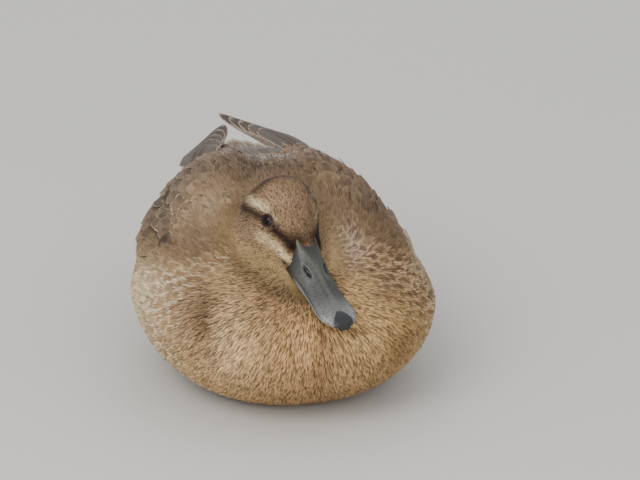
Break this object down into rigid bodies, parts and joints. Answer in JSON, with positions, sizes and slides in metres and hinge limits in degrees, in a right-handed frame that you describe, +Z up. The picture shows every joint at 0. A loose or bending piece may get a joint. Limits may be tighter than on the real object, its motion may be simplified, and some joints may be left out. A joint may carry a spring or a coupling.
{
  "type": "duck",
  "caption": "Brown hen duck resting on its belly, neck drawn in and head turned to one side, wings folded over the rump: a still life-size model.",
  "frame": {"origin": "on the flat of the belly that the duck rests on, under the middle of the body", "axes": "the duck faces -Y, its left side is +X, +Z is up"},
  "size_m": [0.1794, 0.3537, 0.138],
  "materials": {
    "plumage": "matt brown feathers with buff edges and dark streaks",
    "flight_feathers": "smooth satin grey-brown vanes with pale buff edges",
    "bill": "satin slate-grey leathery horn",
    "nail": "satin dark grey horn",
    "eye": "wet glossy dark brown eye",
    "feet": "dull orange scaly skin"
  },
  "bodies": {
    "root": {"breast": "plumage", "trunk": "plumage", "rump": "plumage", "neck": "plumage", "head": "plumage", "wing_left": "plumage", "wing_right": "plumage", "tertials_left": "flight_feathers", "tertials_right": "flight_feathers", "primaries_left": "flight_feathers", "primaries_right": "flight_feathers", "tail": "flight_feathers", "bill_upper": "bill", "bill_lower": "bill", "bill_nail": "nail", "eye_left": "eye", "eye_right": "eye", "leg_left": "feet", "leg_right": "feet", "foot_left": "feet", "foot_right": "feet"}
  },
  "joints": []
}
